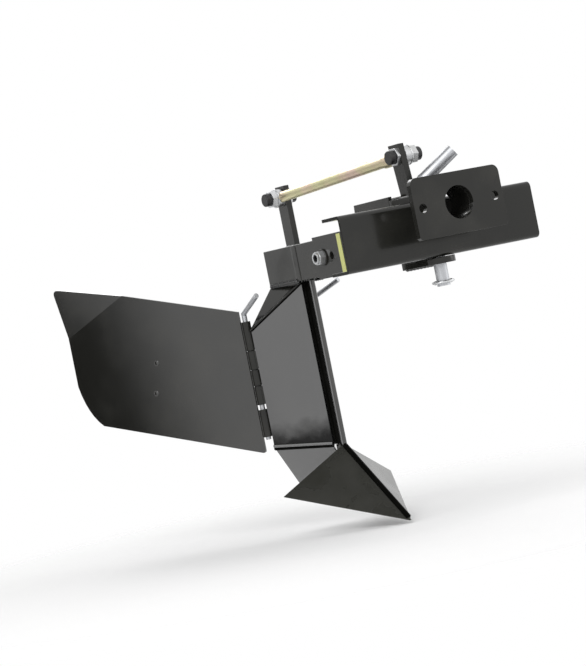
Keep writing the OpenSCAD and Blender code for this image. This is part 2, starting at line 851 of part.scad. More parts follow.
module left_top_flap() {
  mirror([0, 1, 0])
    right_top_flap();
}

// Lower flap: leans down and inwards from the panel's lower edge
module right_low_flap() {
  front = panel_point(panel_start + panel_half, panel_low - seat_gap);
  rear = panel_point(panel_end, panel_low + panel_low_rise - seat_gap);
  drop = [low_flap_drop * flap_run_share, low_flap_lean, -low_flap_drop];
  across = cross(rear - front, drop);
  step = across / norm(across) * (across[1] < 0 ? flap_thickness : -flap_thickness);
  color(black_paint)
    slab([front, rear, rear + drop, front + drop * flap_front_share], step);
}

module left_low_flap() {
  mirror([0, 1, 0])
    right_low_flap();
}

// Right half of the share: a swept triangle from the ridge to the rear corner, its edge ground from below
module right_share() {
  top = [share_top_x, -seat_gap * half_share, share_top_z];
  tip = [share_tip_x, -seat_gap * half_share, share_tip_z];
  corner = [share_corner_x, -share_half_width, share_corner_z];
  color(black_paint)
    ground_slab([top, corner, tip], [0, 0, -share_thickness], share_edge_share);
}

module left_share() {
  mirror([0, 1, 0])
    right_share();
}

// Bracket in the middle plane that ties the shank's foot to the underside of both share halves
module share_bracket() {
  color(black_paint)
    side_plate([[bracket_rear, share_top_z], [bracket_back, share_top_z],
      [bracket_back, share_top_z - ridge_slope * (bracket_back - share_top_x) - bracket_drop],
      [bracket_front, share_top_z - ridge_slope * (bracket_front - share_top_x) - bracket_drop],
      [bracket_rear, share_top_z - share_corner_drop * neck_share]], -shank_half, shank_half);
}

// One hinge knuckle of a row, with a tab from the barrel out to a plate edge
module knuckle(index, reach, tab_thickness) {
  high = knuckle_upper - knuckle_sum(index) - knuckle_gap * half_share;
  low = knuckle_upper - knuckle_sum(index + 1) + knuckle_gap * half_share;
  difference() {
    union() {
      translate([0, 0, low])
        cylinder(r = knuckle_radius, h = high - low, $fn = round_steps);
      box([hinge_pin_radius, -tab_thickness * half_share, low], [reach, tab_thickness * half_share, high]);
    }
    translate([0, 0, low - overrun])
      cylinder(r = knuckle_bore, h = high - low + overrun + overrun, $fn = round_steps);
  }
}

module right_body_knuckles() {
  color(black_paint)
    translate([hinge_x, hinge_y, 0])
      rotate([0, 0, body_half_angle])
        for (index = [1, 3])
          knuckle(index, panel_gap, panel_thickness);
}

module left_body_knuckles() {
  mirror([0, 1, 0])
    right_body_knuckles();
}

module right_wing_knuckles() {
  color(black_paint)
    translate([hinge_x, hinge_y, 0])
      rotate([0, 0, 180 + wing_angle])
        for (index = [0, 2, 5])
          knuckle(index, wing_gap, wing_thickness);
}

module left_wing_knuckles() {
  mirror([0, 1, 0])
    right_wing_knuckles();
}

// Points of an arc between two edges, pulled towards the corner where they would meet
function arc_points(start, bend, finish) =
  [for (i = [0 : arc_steps]) arc_point(start, bend, finish, i / arc_steps)];

// Right wing: a plate whose edges rise to the rear, its lower rear corner cut to an arc
// and its upper rear corner bent outward
module right_wing() {
  half = wing_thickness * half_share;
  run = wing_length - wing_gap;
  rear_top = wing_top + run * wing_slope;
  cut_low = wing_low + (run - wing_cut) * wing_slope;
  arc_start = [wing_length, cut_low + wing_cut + wing_cut];
  arc_end = [wing_length - wing_cut, cut_low];
  arc_middle = (arc_start + arc_end) * half_share;
  arc_bend = arc_middle + ([wing_length, wing_low + run * wing_slope] - arc_middle) * half_share;
  toe = [wing_gap, wing_low];
  toe_start = toe + [wing_toe_radius, wing_toe_radius * wing_slope];
  toe_end = toe + [0, wing_toe_radius];
  tip = [wing_length, rear_top];
  fold_top = tip - [wing_fold_run, wing_fold_run * wing_slope];
  fold_rear = tip - [0, wing_fold_drop];
  fold_line = fold_top - fold_rear;
  fold_height = abs(cross(tip - fold_rear, fold_line)) / norm(fold_line);
  tip_run = wing_corner_radius / tan((90 - wing_rise) * half_share);
  tip_start = tip + (fold_top - tip) * tip_run / norm(fold_top - tip);
  tip_end = tip - [0, tip_run];
  // Both plates run past the fold to the mitre where their outer faces meet
  mitre_share = half * tan(wing_fold_angle * half_share) / fold_height;
  top_lap = (tip - fold_top) * mitre_share;
  rear_lap = (tip - fold_rear) * mitre_share;
  color(black_paint)
    translate([hinge_x, hinge_y, 0])
      rotate([0, 0, 180 + wing_angle]) {
        side_plate([[wing_gap, wing_top], fold_top + top_lap, fold_rear + rear_lap,
          each arc_points(arc_start, arc_bend, arc_end),
          each arc_points(toe_start, toe, toe_end)], -half, half);
        translate([fold_rear[0], 0, fold_rear[1]])
          rotate(a = wing_fold_angle, v = [fold_line[0], 0, fold_line[1]])
            translate([-fold_rear[0], 0, -fold_rear[1]])
              side_plate([fold_top - top_lap, each arc_points(tip_start, tip, tip_end),
                fold_rear - rear_lap], -half, half);
      }
}

module left_wing() {
  mirror([0, 1, 0])
    right_wing();
}

// Loose hinge pin with a bent grip
module hinge_pin(turn) {
  color(zinc)
    translate([hinge_x, hinge_y, 0]) {
      translate([0, 0, hinge_pin_low])
        cylinder(r = hinge_pin_radius, h = hinge_pin_bend - hinge_pin_low, $fn = round_steps);
      bent_grip(hinge_pin_radius, hinge_pin_bend, hinge_grip_angle, -turn, hinge_grip_length);
    }
}

module right_hinge_pin() {
  hinge_pin(right_grip_turn_angle);
}

module left_hinge_pin() {
  mirror([0, 1, 0])
    hinge_pin(left_grip_turn_angle);
}

coupling_plate();
coupling_socket();
hitch_channel();
hitch_pin();
linch_clip();
yoke_back();
yoke_upper();
yoke_lower();
yoke_gussets();
right_cheek();
left_cheek();
drawbar_core();
yellow_strip();
front_post();
front_stud();
front_nuts();
front_washer();
front_caps();
front_eye();
link_rod();
rear_post();
rear_stud();
rear_nuts();
rear_washer();
rear_caps();
pivot_bolt();
pivot_nut();
pivot_washers();
shank_head();
shank();
right_panel();
left_panel();
right_top_flap();
left_top_flap();
right_low_flap();
left_low_flap();
right_share();
left_share();
share_bracket();
right_body_knuckles();
left_body_knuckles();
right_wing();
left_wing();
right_wing_knuckles();
left_wing_knuckles();
right_hinge_pin();
left_hinge_pin();
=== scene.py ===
import json
import math

import bpy
from mathutils import Matrix, Vector

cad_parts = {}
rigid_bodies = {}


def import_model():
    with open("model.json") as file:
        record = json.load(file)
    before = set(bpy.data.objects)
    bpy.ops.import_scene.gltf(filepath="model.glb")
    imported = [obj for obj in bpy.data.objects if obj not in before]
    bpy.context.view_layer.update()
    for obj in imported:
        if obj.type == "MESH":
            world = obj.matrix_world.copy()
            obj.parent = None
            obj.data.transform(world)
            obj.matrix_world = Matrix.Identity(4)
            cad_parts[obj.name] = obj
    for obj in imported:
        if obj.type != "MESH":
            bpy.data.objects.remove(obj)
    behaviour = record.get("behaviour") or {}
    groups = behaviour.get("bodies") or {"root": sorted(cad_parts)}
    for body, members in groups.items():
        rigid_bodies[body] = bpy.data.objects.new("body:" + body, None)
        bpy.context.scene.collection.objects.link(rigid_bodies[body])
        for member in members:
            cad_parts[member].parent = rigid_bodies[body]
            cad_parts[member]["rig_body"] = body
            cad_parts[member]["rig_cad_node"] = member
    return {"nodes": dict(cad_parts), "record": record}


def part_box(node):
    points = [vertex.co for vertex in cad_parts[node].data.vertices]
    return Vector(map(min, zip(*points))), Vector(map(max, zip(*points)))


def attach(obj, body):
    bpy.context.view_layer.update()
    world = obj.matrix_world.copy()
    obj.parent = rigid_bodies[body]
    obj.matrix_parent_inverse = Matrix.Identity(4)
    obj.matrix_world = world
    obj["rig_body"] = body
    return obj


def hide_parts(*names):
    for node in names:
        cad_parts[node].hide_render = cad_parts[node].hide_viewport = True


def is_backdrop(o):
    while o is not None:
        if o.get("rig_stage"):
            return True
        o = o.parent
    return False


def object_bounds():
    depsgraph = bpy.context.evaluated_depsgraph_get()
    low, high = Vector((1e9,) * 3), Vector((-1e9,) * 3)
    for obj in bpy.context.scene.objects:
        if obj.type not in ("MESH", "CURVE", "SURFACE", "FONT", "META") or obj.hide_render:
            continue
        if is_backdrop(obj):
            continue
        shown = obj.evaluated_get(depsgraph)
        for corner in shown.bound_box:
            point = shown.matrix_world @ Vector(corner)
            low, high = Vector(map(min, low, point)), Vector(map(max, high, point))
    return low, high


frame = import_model()
cad_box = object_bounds()
middle = (Vector(cad_box[0]) + Vector(cad_box[1])) / 2

# Names of the two sides, and the sign of their outward direction
SIDES = (("right", -1), ("left", 1))
UPWARD = Vector((0.0, 0.0, 1.0))

# Width of the photograph, in pixels
PICTURE_WIDTH = 586

# Camera, fitted to the photograph: angles in degrees, distance in metres
CAMERA_TURN = 29.9
CAMERA_RISE = 0.9
CAMERA_ROLL = 11.32
CAMERA_DISTANCE = 3.0
# Focal length in pixels of the photograph, and width of the sensor in millimetres
FOCAL_PIXELS = 2493.0
SENSOR_WIDTH = 36.0
# The point the camera was fitted around: the foot of the channel's front face, in metres
FIT_POINT = Vector((-0.047, 0.0, -0.059))
# Sideways and upward shift of that point from the middle of the picture, in metres
FIT_SHIFT_RIGHT = 0.1859
FIT_SHIFT_UP = 0.0939

# Softened edges of each kind of piece, in metres
SHEET_EDGE = 0.0005
BAR_EDGE = 0.0009
SHANK_EDGE = 0.0026
FASTENER_EDGE = 0.0006
CAP_EDGE = 0.0030
STRIP_EDGE = 0.0001
EDGE_STEPS = 3
FLAT_FACE_WEIGHT = 100

# How a CAD mesh is merged and shaded: a distance in metres, and angles between faces
MERGE_DISTANCE = 0.000002
FLAT_ANGLE = math.radians(0.6)
SMOOTH_ANGLE = math.radians(28)
BEVEL_ANGLE = math.radians(34)

# Depth of the fine relief of all finishes, in metres
RELIEF_DEPTH = 0.0004

# Heights between which the panels' paint turns from dull to polished, and how far they waver, in metres
DULL_LEVEL = -0.263
BRIGHT_LEVEL = -0.233
LEVEL_WAVER = 0.007
# Coat of the polished part, and reflection left on the dull part
PANEL_POLISH = 0.78
DULL_REFLECTION = 0.12

# Colours of the yellow zinc, each with its place on the ramp that the drift follows
ZINC_GREENISH = (0.34, (0.62, 0.60, 0.36, 1.0))
ZINC_YELLOW = (0.52, (0.66, 0.58, 0.39, 1.0))
ZINC_PINKISH = (0.68, (0.68, 0.53, 0.43, 1.0))

# Share of a normal along an axis from which a face counts as square to it, or as part of a rounded edge
SQUARE_FACING = 0.9
EDGE_FACING = 0.2

# Bare plated part of each link eye, measured from its stud, in metres
EYE_REACH = 0.0128
# The pivot bolt gets painted shade inside its nut, up to this far from the nut's inner face, in metres
NUT_MARGIN = 0.001

# How near to a level or an end a point counts as on it, in metres
LEVEL_REACH = 0.0005
END_REACH = 0.004
# Digits to which levels are compared
LEVEL_DIGITS = 5

# Weld beads: lengths in metres, waist of a ripple and end of a bead as shares of the radius
BEAD_RADIUS = 0.0021
BEAD_PITCH = 0.0048
BEAD_RIPPLE = 0.78
BEAD_END = 0.5
HEAVY_BEAD = 0.0042
HEAVY_PITCH = 0.0056
HEAVY_RIPPLE = 0.42
RIPPLE_RINGS = 4
BEAD_SIDES = 8

# Round bars: sides, and rounding of the ends as a share of the radius
BAR_SIDES = 16
BAR_ROUNDING = 0.3

# Rounds of the panels' folds, the upper one dark with painted shade and with a crest, and a line of painted
# shade below the lower one, in metres
FOLD_RADIUS = 0.0026
CREST_RADIUS = 0.0012
CREST_RISE = 0.0020
SHADE_RADIUS = 0.0027
SHADE_DROP = 0.0036

# Ridge of the share: radius in metres, and where it starts and ends along the share's front edge
RIDGE_RADIUS = 0.0036
RIDGE_START = 0.02
RIDGE_END = 0.95

# Crease of the head: half width and distance from the head's edges in metres
CREASE_HALF = 0.007
CREASE_INSET = 0.001
CREASE_SIDES = 32
# Its depth, as a share of the half width
CREASE_DEPTH_SHARE = 0.06

# Weld marks on the outer face of each wing: reach from the hinge edge and level, in metres
WING_MARKS = ((0.144, -0.125), (0.154, -0.166))
MARK_RADIUS = 0.0042
MARK_HEIGHT = 0.0010

# Painted shade in the narrow gaps between hinge knuckles: widest gap, and depth outside the bore, in metres
NARROW_GAP = 0.003
RING_DEPTH = 0.0012
# Share of a gap that its ring fills
RING_FILL = 0.94
RING_SIDES = 8
RING_STEPS = 36

# Floor, in metres; it fades out between two distances from the object's middle
FLOOR_SIZE = 8.0
FLOOR_GAP = 0.004
FLOOR_NEAR = 0.25
FLOOR_FAR = 0.85
FLOOR_GREY = 0.96
FLOOR_ROUGHNESS = 0.95

# Lamps: place from the object's middle and size in metres, power in watts
LAMPS = {
    "key": ((1.2, -1.6, 1.5), 1.6, 22.0),
    "fill": ((1.0, 1.8, 0.7), 1.4, 9.0),
    "rear": ((-1.8, 0.3, 1.4), 1.2, 12.0),
}

# Black cards that the faces reflect: places and sizes in metres
CARD_GREY = 0.01
OVERHEAD_FROM_MIDDLE = Vector((-0.15, -0.55, 1.75))
OVERHEAD_SIZE = 1.7
SIDE_CARD_PLACE = Vector((-1.0, -1.0, -0.13))
SIDE_CARD_SIZE = 1.0
SIDE_CARD_TURN = (math.pi / 2, -0.2, 0.0)
# The side card fades out between these distances from its middle
SIDE_FADE_START = 0.26
SIDE_FADE_END = 0.392

# Strength of the world where it is seen or mirrored, and as light
SEEN_STRENGTH = 1.0
LIGHT_STRENGTH = 0.8


# Node helpers

def link(tree, source, output, target, target_input):
    tree.links.new(source.outputs[output], target.inputs[target_input])


def new_material(name):
    """A material with only an output and the shader that feeds it."""
    material = bpy.data.materials.new(name)
    material.use_nodes = True
    tree = material.node_tree
    tree.nodes.clear()
    surface = tree.nodes.new("ShaderNodeOutputMaterial")
    shader = tree.nodes.new("ShaderNodeBsdfPrincipled")
    link(tree, shader, "BSDF", surface, "Surface")
    return material, tree, shader


def noise(tree, vector_node, vector_output, scale, detail):
    texture = tree.nodes.new("ShaderNodeTexNoise")
    texture.inputs["Scale"].default_value = scale
    texture.inputs["Detail"].default_value = detail
    link(tree, vector_node, vector_output, texture, "Vector")
    return texture


def remap(tree, node, output, from_low, from_high, to_low, to_high):
    """A node that maps one range of a value to another."""
    mapped = tree.nodes.new("ShaderNodeMapRange")
    mapped.inputs["From Min"].default_value = from_low
    mapped.inputs["From Max"].default_value = from_high
    mapped.inputs["To Min"].default_value = to_low
    mapped.inputs["To Max"].default_value = to_high
    link(tree, node, output, mapped, "Value")
    return mapped


# Node groups shared by the finishes

def handling_group():
    """Faint smears and dust: a mask for the colour and a value to add to the roughness."""
    group = bpy.data.node_groups.new("handling_smears", "ShaderNodeTree")
    group.interface.new_socket(name="Vector", in_out="INPUT", socket_type="NodeSocketVector")
    group.interface.new_socket(name="Smear Size", in_out="INPUT", socket_type="NodeSocketFloat")
    group.interface.new_socket(name="Dust", in_out="OUTPUT", socket_type="NodeSocketFloat")
    group.interface.new_socket(name="Gloss Loss", in_out="OUTPUT", socket_type="NodeSocketFloat")
    entry = group.nodes.new("NodeGroupInput")
    leave = group.nodes.new("NodeGroupOutput")
    broad = noise(group, entry, "Vector", scale=9.0, detail=4.0)
    link(group, entry, "Smear Size", broad, "Scale")
    fine = noise(group, entry, "Vector", scale=420.0, detail=2.0)
    patches = remap(group, broad, "Fac", 0.48, 0.74, 0.0, 1.0)
    specks = remap(group, fine, "Fac", 0.60, 0.72, 0.3, 0.7)
    both = group.nodes.new("ShaderNodeMath")
    both.operation = "MULTIPLY"
    link(group, patches, "Result", both, 0)
    link(group, specks, "Result", both, 1)
    loss = remap(group, broad, "Fac", 0.35, 0.75, 0.0, 0.14)
    link(group, both, "Value", leave, "Dust")
    link(group, loss, "Result", leave, "Gloss Loss")
    return group


def skin_group():
    """Fine surface relief: the slight orange peel of paint or the grain of plating."""
    group = bpy.data.node_groups.new("surface_skin", "ShaderNodeTree")
    group.interface.new_socket(name="Vector", in_out="INPUT", socket_type="NodeSocketVector")
    group.interface.new_socket(name="Grain", in_out="INPUT", socket_type="NodeSocketFloat")
    group.interface.new_socket(name="Height", in_out="OUTPUT", socket_type="NodeSocketFloat")
    entry = group.nodes.new("NodeGroupInput")
    leave = group.nodes.new("NodeGroupOutput")
    relief = noise(group, entry, "Vector", scale=300.0, detail=3.0)
    link(group, entry, "Grain", relief, "Scale")
    link(group, relief, "Fac", leave, "Height")
    return group


HANDLING = handling_group()
SKIN = skin_group()


def place_group(tree, group, values, vector_node):
    """A node group in a material, on Object coordinates and with its own values."""
    placed = tree.nodes.new("ShaderNodeGroup")
    placed.node_tree = group
    link(tree, vector_node, "Object", placed, "Vector")
    for socket, value in values.items():
        placed.inputs[socket].default_value = value
    return placed


def finish_material(name, clean, dusty, roughness, smear_size, grain, relief, settings):
    """A finish with smears, dust and fine relief. The roughness is that of the clean surface, and
    settings go straight on the shader's sockets."""
    material, tree, shader = new_material(name)
    place = tree.nodes.new("ShaderNodeTexCoord")
    smears = place_group(tree, HANDLING, {"Smear Size": smear_size}, place)
    skin = place_group(tree, SKIN, {"Grain": grain}, place)
    tint = tree.nodes.new("ShaderNodeMix")
    tint.data_type = "RGBA"
    tint.inputs["A"].default_value = (*clean, 1.0)
    tint.inputs["B"].default_value = (*dusty, 1.0)
    link(tree, smears, "Dust", tint, "Factor")
    link(tree, tint, "Result", shader, "Base Color")
    rough = tree.nodes.new("ShaderNodeMath")
    rough.operation = "ADD"
    rough.inputs[1].default_value = roughness
    link(tree, smears, "Gloss Loss", rough, 0)
    link(tree, rough, "Value", shader, "Roughness")
    bump = tree.nodes.new("ShaderNodeBump")
    bump.inputs["Strength"].default_value = relief
    bump.inputs["Distance"].default_value = RELIEF_DEPTH
    link(tree, skin, "Height", bump, "Height")
    link(tree, bump, "Normal", shader, "Normal")
    for socket, value in settings.items():
        shader.inputs[socket].default_value = value
    return material


GLOSS_BLACK = finish_material("gloss_black_paint", (0.0155, 0.0155, 0.0135), (0.052, 0.050, 0.043),
    roughness=0.14, smear_size=14.0, grain=260.0, relief=0.06,
    settings={"Specular IOR Level": 0.30, "Coat Weight": 0.15, "Coat Roughness": 0.05})
WING_BLACK = finish_material("wing_black_paint", (0.0150, 0.0150, 0.0132), (0.052, 0.050, 0.043),
    roughness=0.12, smear_size=14.0, grain=260.0, relief=0.06,
    settings={"Specular IOR Level": 0.5, "Coat Weight": 1.0, "Coat Roughness": 0.08})
# Painted shade: a near-black finish for faces, creases and gaps that stand in shade
SHADE_BLACK = finish_material("painted_shade_black", (0.0025, 0.0025, 0.002), (0.010, 0.010, 0.009),
    roughness=0.35, smear_size=20.0, grain=400.0, relief=0.10,
    settings={"Specular IOR Level": 0.02})
SHARE_BLACK = finish_material("share_black_paint", (0.030, 0.030, 0.025), (0.042, 0.041, 0.035),
    roughness=0.22, smear_size=18.0, grain=320.0, relief=0.08,
    settings={"Specular IOR Level": 0.66, "Coat Weight": 0.30, "Coat Roughness": 0.10})
BRIGHT_BLACK = finish_material("polished_black_paint", (0.016, 0.016, 0.016), (0.050, 0.048, 0.044),
    roughness=0.16, smear_size=12.0, grain=260.0, relief=0.05,
    settings={"Specular IOR Level": 0.5, "Coat Weight": 1.0, "Coat IOR": 2.4, "Coat Roughness": 0.12})
WELD_BLACK = finish_material("painted_weld", (0.014, 0.014, 0.014), (0.060, 0.057, 0.050),
    roughness=0.22, smear_size=30.0, grain=900.0, relief=0.25,
    settings={"Specular IOR Level": 0.60, "Coat Weight": 0.4})
BRIGHT_ZINC = finish_material("bright_zinc_plate", (0.66, 0.67, 0.68), (0.42, 0.41, 0.38),
    roughness=0.30, smear_size=40.0, grain=700.0, relief=0.08,
    settings={"Metallic": 1.0})
PIN_ZINC = finish_material("dull_zinc_plate", (0.53, 0.54, 0.56), (0.38, 0.37, 0.35),
    roughness=0.45, smear_size=40.0, grain=700.0, relief=0.08,
    settings={"Metallic": 1.0})
CAP_BLACK = finish_material("black_cap_plastic", (0.016, 0.016, 0.017), (0.05, 0.05, 0.05),
    roughness=0.42, smear_size=60.0, grain=800.0, relief=0.10,
    settings={})
STRIP_YELLOW = finish_material("plain_yellow_strip", (0.59, 0.61, 0.22), (0.46, 0.45, 0.19),
    roughness=0.40, smear_size=50.0, grain=500.0, relief=0.03,
    settings={})


def opened(material):
    """The node tree of a finish, with its shader and its coordinates."""
    tree = material.node_tree
    shader = next(n for n in tree.nodes if n.type == "BSDF_PRINCIPLED")
    place = next(n for n in tree.nodes if n.type == "TEX_COORD")
    return tree, shader, place


def yellow_zinc_material():
    """Chromated zinc: yellow that drifts to pink and green along the rod."""
    material = finish_material("yellow_zinc_plate", (0.66, 0.57, 0.36), (0.40, 0.34, 0.20),
        roughness=0.36, smear_size=45.0, grain=700.0, relief=0.08, settings={"Metallic": 1.0})
    tree, shader, place = opened(material)
    drift = noise(tree, place, "Object", scale=26.0, detail=2.0)
    ramp = tree.nodes.new("ShaderNodeValToRGB")
    stops = ramp.color_ramp.elements
    stops[0].position, stops[0].color = ZINC_GREENISH
    stops[1].position, stops[1].color = ZINC_PINKISH
    stops.new(ZINC_YELLOW[0]).color = ZINC_YELLOW[1]
    link(tree, drift, "Fac", ramp, "Fac")
    link(tree, ramp, "Color", shader, "Base Color")
    return material


YELLOW_ZINC = yellow_zinc_material()


def soil_dulled_material():
    """Polished paint that turns dull towards the lower fold, where soil passes."""
    material = BRIGHT_BLACK.copy()
    material.name = "soil_dulled_paint"
    tree, shader, place = opened(material)
    parts = tree.nodes.new("ShaderNodeSeparateXYZ")
    link(tree, place, "Object", parts, "Vector")
    edge = noise(tree, place, "Object", scale=48.0, detail=4.0)
    waver = remap(tree, edge, "Fac", 0.3, 0.7, -LEVEL_WAVER, LEVEL_WAVER)
    height = tree.nodes.new("ShaderNodeMath")
    height.operation = "ADD"
    link(tree, parts, "Z", height, 0)
    link(tree, waver, "Result", height, 1)
    polish = remap(tree, height, "Value", DULL_LEVEL, BRIGHT_LEVEL, 0.0, PANEL_POLISH)
    link(tree, polish, "Result", shader, "Coat Weight")
    shader.inputs["Specular IOR Level"].default_value = DULL_REFLECTION
    return material


SOIL_DULLED = soil_dulled_material()

# Finish and softened edge of each material slot
FINISHES = {
    "black_paint": (GLOSS_BLACK, SHEET_EDGE),
    "bright_zinc": (BRIGHT_ZINC, FASTENER_EDGE),
    "yellow_zinc": (YELLOW_ZINC, FASTENER_EDGE),
    "black_cap": (CAP_BLACK, CAP_EDGE),
    "yellow_strip": (STRIP_YELLOW, STRIP_EDGE),
}
# Finishes of single nodes that differ from their slot's finish
NODE_FINISH = {
    "right_panel": SOIL_DULLED, "left_panel": SOIL_DULLED,
    "right_low_flap": BRIGHT_BLACK, "left_low_flap": BRIGHT_BLACK,
    "right_share": SHARE_BLACK, "left_share": SHARE_BLACK,
    "right_wing": WING_BLACK, "left_wing": WING_BLACK,
    "hitch_pin": PIN_ZINC, "right_hinge_pin": PIN_ZINC, "left_hinge_pin": PIN_ZINC,
}
# The wings stay flat shaded, so that their bent corner keeps its crease
WINGS = {"right_wing", "left_wing"}
# Thick pieces, whose edges are softened more than those of sheet
HEAVY_BARS = {"coupling_plate", "front_post", "rear_post", "yoke_back", "yoke_upper", "yoke_lower",
    "right_cheek", "left_cheek", "shank", "shank_head", "right_share", "left_share"}


# Modelling helpers

def start_fresh():
    """Object mode with nothing selected."""
    if bpy.context.object and bpy.context.object.mode != "OBJECT":
        bpy.ops.object.mode_set(mode="OBJECT")
    bpy.ops.object.select_all(action="DESELECT")


def make_active(piece):
    """Selects one piece alone."""
    start_fresh()
    piece.select_set(True)
    bpy.context.view_layer.objects.active = piece


def soften(piece, width, flat=False):
    """Rounds the edges of a piece and shades its curved faces smooth, unless it stays flat."""
    make_active(piece)
    rounding = piece.modifiers.new("edge", "BEVEL")
    rounding.width = width
    rounding.segments = EDGE_STEPS
    rounding.limit_method = "ANGLE"
    rounding.angle_limit = BEVEL_ANGLE
    rounding.use_clamp_overlap = True
    bpy.ops.object.modifier_apply(modifier=rounding.name)
    if flat:
        bpy.ops.object.shade_flat()
        return
    bpy.ops.object.shade_smooth_by_angle(angle=SMOOTH_ANGLE)
    flatten = piece.modifiers.new("flat_faces", "WEIGHTED_NORMAL")
    flatten.weight = FLAT_FACE_WEIGHT
    flatten.keep_sharp = True
    bpy.ops.object.modifier_apply(modifier=flatten.name)


def dress_node(node, body, material_slot):
    """A finished copy of a CAD node: merged, its flat faces joined, its edges softened."""
    source = frame["nodes"][node]
    make_active(source)
    bpy.ops.object.duplicate(linked=False)
    piece = bpy.context.view_layer.objects.active
    piece.name = node + "_finished"
    # The copy drops what the frame wrote on the CAD node
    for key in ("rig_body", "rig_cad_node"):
        if key in piece:
            del piece[key]
    piece.parent = None
    bpy.ops.object.mode_set(mode="EDIT")
    bpy.ops.mesh.select_all(action="SELECT")
    bpy.ops.mesh.remove_doubles(threshold=MERGE_DISTANCE)
    bpy.ops.mesh.dissolve_limited(angle_limit=FLAT_ANGLE)
    bpy.ops.object.mode_set(mode="OBJECT")
    material, width = FINISHES[material_slot]
    if node in HEAVY_BARS:
        width = SHANK_EDGE if node == "shank" else BAR_EDGE
    soften(piece, width, node in WINGS)
    piece.data.materials.clear()
    piece.data.materials.append(NODE_FINISH.get(node, material))
    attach(piece, body)
    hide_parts(node)
    return piece


def paint_faces(piece, material, chosen):
    """Gives a second finish to the faces that the test chooses."""
    piece.data.materials.append(material)
    for face in piece.data.polygons:
        if chosen(face):
            face.material_index = len(piece.data.materials) - 1


def near_axis(axis, radius):
    """Test for faces within a radius of an axis across the machine."""
    return lambda face: math.hypot(face.center.x - axis.x, face.center.z - axis.z) < radius


def round_bar(name, body, start, end, radius, material, sides=BAR_SIDES, depth_share=1.0):
    """A smooth bar between two points, such as the round of a folded edge. Across the machine it may
    be flattened to a share of its depth."""
    start, end = Vector(start), Vector(end)
    along = end - start
    start_fresh()
    bpy.ops.mesh.primitive_cylinder_add(vertices=sides, radius=radius, depth=along.length,
        location=(start + end) / 2, rotation=along.to_track_quat("Z", "Y").to_euler())
    bar = bpy.context.object
    bar.name = name
    bpy.ops.object.transform_apply(location=False, rotation=True, scale=True)
    bpy.ops.transform.resize(value=(1.0, depth_share, 1.0))
    bpy.ops.object.transform_apply(location=True, rotation=True, scale=True)
    soften(bar, radius * depth_share * BAR_ROUNDING)
    bar.data.materials.append(material)
    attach(bar, body)


def weld_bead(name, body, start, end, radius=BEAD_RADIUS, material=WELD_BLACK, pitch=BEAD_PITCH,
        ripple=BEAD_RIPPLE):
    """A rippled weld bead between two points, extruded ring by ring along the seam."""
    start, end = Vector(start), Vector(end)
    along = end - start
    steps = max(1, round(along.length / pitch)) * RIPPLE_RINGS
    turn = along.to_track_quat("Z", "Y").to_euler()
    start_fresh()
    bpy.ops.mesh.primitive_circle_add(vertices=BEAD_SIDES, radius=radius * BEAD_END, fill_type="NGON",
        location=start, rotation=turn)
    bead = bpy.context.object
    bead.name = name
    bpy.ops.object.mode_set(mode="EDIT")
    bpy.ops.mesh.select_all(action="SELECT")
    size = BEAD_END
    for step in range(1, steps + 1):
        bpy.ops.mesh.extrude_region_move(TRANSFORM_OT_translate={"value": along / steps})
        swell = (1.0 - math.cos(math.tau * step / RIPPLE_RINGS)) / 2.0
        wanted = BEAD_END if step == steps else ripple + (1.0 - ripple) * swell
        here = start + along * (step / steps)
        bpy.ops.transform.resize(value=(wanted / size,) * 3, center_override=here)
        size = wanted
    bpy.ops.mesh.select_all(action="SELECT")
    bpy.ops.mesh.normals_make_consistent(inside=False)
    bpy.ops.object.mode_set(mode="OBJECT")
    bpy.ops.object.transform_apply(location=True, rotation=True, scale=True)
    bpy.ops.object.shade_smooth()
    bead.data.materials.append(material)
    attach(bead, body)


# Finished copies of all nodes

node_slot = {part["node"]: part["material_slot"] for part in frame["record"]["subparts"]}
for body, members in frame["record"]["behaviour"]["bodies"].items():
    for node in members:
        finished = dress_node(node, body, node_slot[node])
        if node == "shank":
            # Painted shade on both flat sides of the shank
            paint_faces(finished, SHADE_BLACK, lambda face: abs(face.normal.y) > SQUARE_FACING)
            paint_faces(finished, WING_BLACK, lambda face: face.normal.x > SQUARE_FACING)
            paint_faces(finished, BRIGHT_BLACK, lambda face: EDGE_FACING < face.normal.x < SQUARE_FACING)
        if node == "pivot_bolt":
            # Painted shade on the bolt's end inside its nut
            nut_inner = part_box("pivot_nut")[1].y
            paint_faces(finished, SHADE_BLACK, lambda face: face.center.y < nut_inner - NUT_MARGIN)
        if node in ("front_eye", "link_rod"):
            stud_low, stud_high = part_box("front_stud" if node == "front_eye" else "rear_stud")
            paint_faces(finished, BRIGHT_ZINC, near_axis((stud_low + stud_high) / 2, EYE_REACH))


# Where the trim goes, from the frame

head_low, head_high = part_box("shank_head")
shank_low, shank_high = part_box("shank")
back_low, back_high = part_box("yoke_back")
cheek_low, cheek_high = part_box("right_cheek")
panel_low, panel_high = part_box("right_panel")
share_low, share_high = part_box("right_share")


def points_of(node):
    """Copies of a CAD node's points."""
    return [v.co.copy() for v in frame["nodes"][node].data.vertices]


def outer_corners(node):
    """Front and rear corners of a panel's upper and lower edge, on its outer face."""
    points = points_of(node)
    front = max(p.x for p in points)
    rear = min(p.x for p in points)
    ahead = [p for p in points if front - p.x < END_REACH]
    behind = [p for p in points if p.x - rear < END_REACH]

    def outermost(group, upward):
        return max(group, key=lambda p: (round(upward * p.z, LEVEL_DIGITS), abs(p.y)))

    return [outermost(group, upward) for upward in (1, -1) for group in (ahead, behind)]


def outer_face(piece, outward):
    """The largest face of a piece that looks to the given side."""
    return max(piece.data.polygons, key=lambda face: face.area * face.normal.y * outward)


# Weld beads

